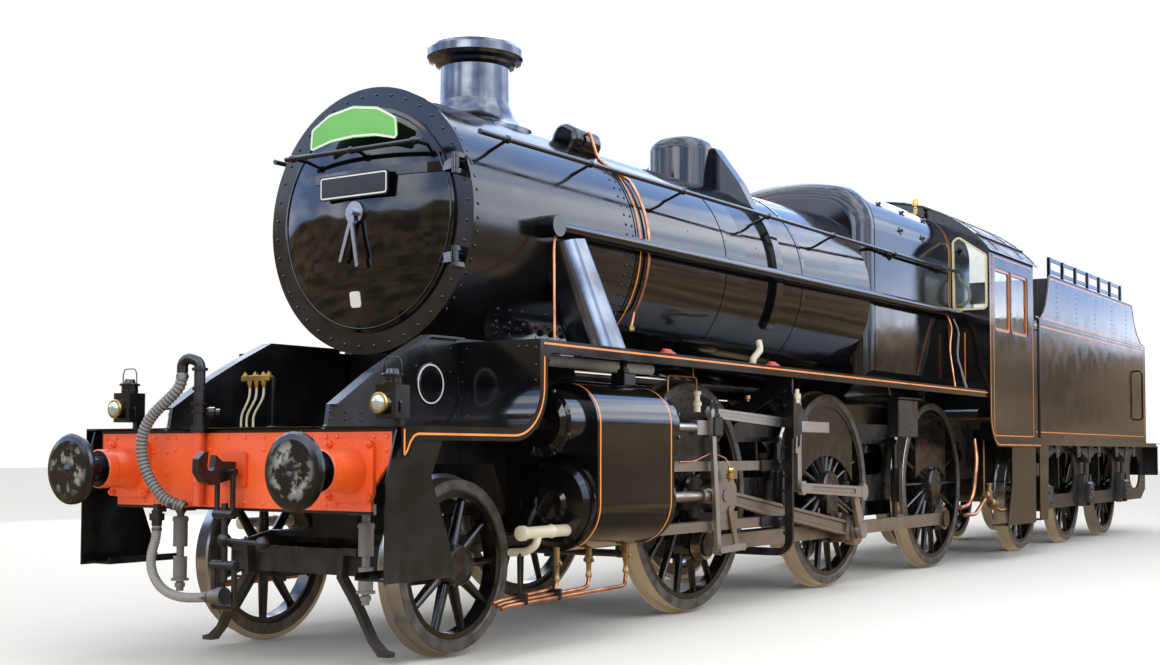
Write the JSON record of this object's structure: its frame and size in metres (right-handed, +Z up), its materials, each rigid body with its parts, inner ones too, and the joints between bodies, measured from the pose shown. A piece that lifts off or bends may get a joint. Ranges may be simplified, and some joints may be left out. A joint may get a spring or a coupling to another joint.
{
  "type": "steam locomotive",
  "caption": "Black steam locomotive with pony truck, coupled wheels, outside cylinders and valve gear, tapered boiler, cab and a riveted tender on a drawbar.",
  "frame": {"origin": "under the middle of the length over buffers, at the lowest point of the wheel flanges", "axes": "+Z up, the engine's front faces -Y, its left side is +X"},
  "size_m": [2.66, 18.25, 3.991],
  "materials": {
    "gloss_black": "gloss black paint",
    "frame_black": "black paint dulled by oil and dust",
    "smokebox_black": "satin black heat proof paint",
    "vermilion": "gloss vermilion paint",
    "bright_steel": "machined steel with a film of oil",
    "worn_tyre": "black paint with worn steel tyres",
    "cast_black": "painted casting",
    "brass": "dull brass and copper",
    "varnished_wood": "varnished wood",
    "window_glass": "clear glass",
    "hose_rubber": "black ribbed hose",
    "lamp_white": "white paint",
    "plates": "painted plates with pale borders",
    "floor_wood": "worn boards"
  },
  "bodies": {
    "engine": {"engine_frames": "frame_black", "frame_stretchers": "frame_black", "axleboxes_and_springs": "cast_black", "front_beam": "vermilion", "front_buffers": "vermilion", "running_plates": "gloss_black", "steps": "frame_black", "smokebox": "smokebox_black", "chimney": "cast_black", "smokebox_saddle": "smokebox_black", "boiler_barrel": "gloss_black", "firebox": "gloss_black", "boiler_casings": "smokebox_black", "valves_and_whistle": "brass", "handrails": "gloss_black", "ejector_pipe": "frame_black", "steam_pipe_casings": "gloss_black", "cylinders": "gloss_black", "slide_bars": "bright_steel", "crossheads": "bright_steel", "connecting_rods": "bright_steel", "valve_gear": "bright_steel", "motion_brackets": "frame_black", "brake_gear": "frame_black", "cab_sides": "gloss_black", "cab_roof": "frame_black", "cab_floor": "floor_wood", "backhead_fittings": "brass", "window_frames": "varnished_wood", "window_glass": "window_glass", "front_coupling": "frame_black", "lamps": "lamp_white", "train_pipes": "frame_black", "vacuum_hose": "hose_rubber", "heating_hose": "hose_rubber"},
    "driving_wheels": {"driving_wheels": "worn_tyre"},
    "leading_coupled_wheels": {"leading_coupled_wheels": "worn_tyre"},
    "trailing_coupled_wheels": {"trailing_coupled_wheels": "worn_tyre"},
    "left_coupling_rod": {"left_coupling_rod": "bright_steel"},
    "right_coupling_rod": {"right_coupling_rod": "bright_steel"},
    "pony_truck": {"pony_truck": "frame_black"},
    "pony_wheels": {"pony_wheels": "worn_tyre"},
    "smokebox_door": {"smokebox_door": "smokebox_black", "door_fittings": "bright_steel", "door_plates": "plates"},
    "tender": {"tender_frames": "frame_black", "tender_axleboxes": "cast_black", "tender_platform": "frame_black", "tender_tank": "gloss_black", "tender_sides": "gloss_black", "coal_rails": "gloss_black", "tender_steps_and_rails": "gloss_black", "rear_buffers": "cast_black"},
    "tender_wheels_1": {"tender_wheels_1": "worn_tyre"},
    "tender_wheels_2": {"tender_wheels_2": "worn_tyre"},
    "tender_wheels_3": {"tender_wheels_3": "worn_tyre"}
  },
  "joints": [
    {"name": "driving_axle", "type": "hinge", "parent": "engine", "child": "driving_wheels", "pos_m": [0, -2.566, 0.866], "axis": [1, 0, 0], "continuous": true},
    {"name": "leading_axle", "type": "hinge", "parent": "engine", "child": "leading_coupled_wheels", "pos_m": [0, -5.004, 0.866], "axis": [1, 0, 0], "continuous": true},
    {"name": "trailing_axle", "type": "hinge", "parent": "engine", "child": "trailing_coupled_wheels", "pos_m": [0, 0.025, 0.866], "axis": [1, 0, 0], "continuous": true},
    {"name": "left_rod_pin", "type": "hinge", "parent": "driving_wheels", "child": "left_coupling_rod", "pos_m": [0.905, -2.566, 0.51], "axis": [1, 0, 0], "continuous": true},
    {"name": "right_rod_pin", "type": "hinge", "parent": "driving_wheels", "child": "right_coupling_rod", "pos_m": [-0.905, -2.21, 0.866], "axis": [1, 0, 0], "continuous": true},
    {"name": "pony_truck_pivot", "type": "hinge", "parent": "engine", "child": "pony_truck", "pos_m": [0, -5.845, 0.6], "axis": [0, 0, 1], "range_deg": [-3, 3]},
    {"name": "pony_axle", "type": "hinge", "parent": "pony_truck", "child": "pony_wheels", "pos_m": [0, -7.747, 0.5295], "axis": [1, 0, 0], "continuous": true},
    {"name": "smokebox_door_hinge", "type": "hinge", "parent": "engine", "child": "smokebox_door", "pos_m": [0.742, -7.687, 2.6], "axis": [0, 0, 1], "range_deg": [0, 110]},
    {"name": "drawbar_pivot", "type": "hinge", "parent": "engine", "child": "tender", "pos_m": [0, 1.775, 1.055], "axis": [0, 0, 1], "range_deg": [-3, 3]},
    {"name": "tender_axle_1", "type": "hinge", "parent": "tender", "child": "tender_wheels_1", "pos_m": [0, 3.045, 0.6755], "axis": [1, 0, 0], "continuous": true},
    {"name": "tender_axle_2", "type": "hinge", "parent": "tender", "child": "tender_wheels_2", "pos_m": [0, 5.026, 0.6755], "axis": [1, 0, 0], "continuous": true},
    {"name": "tender_axle_3", "type": "hinge", "parent": "tender", "child": "tender_wheels_3", "pos_m": [0, 7.007, 0.6755], "axis": [1, 0, 0], "continuous": true}
  ],
  "couplings": [
    {"joint": "leading_axle", "follows": "driving_axle", "ratio": 1},
    {"joint": "trailing_axle", "follows": "driving_axle", "ratio": 1},
    {"joint": "left_rod_pin", "follows": "driving_axle", "ratio": -1},
    {"joint": "right_rod_pin", "follows": "driving_axle", "ratio": -1}
  ]
}
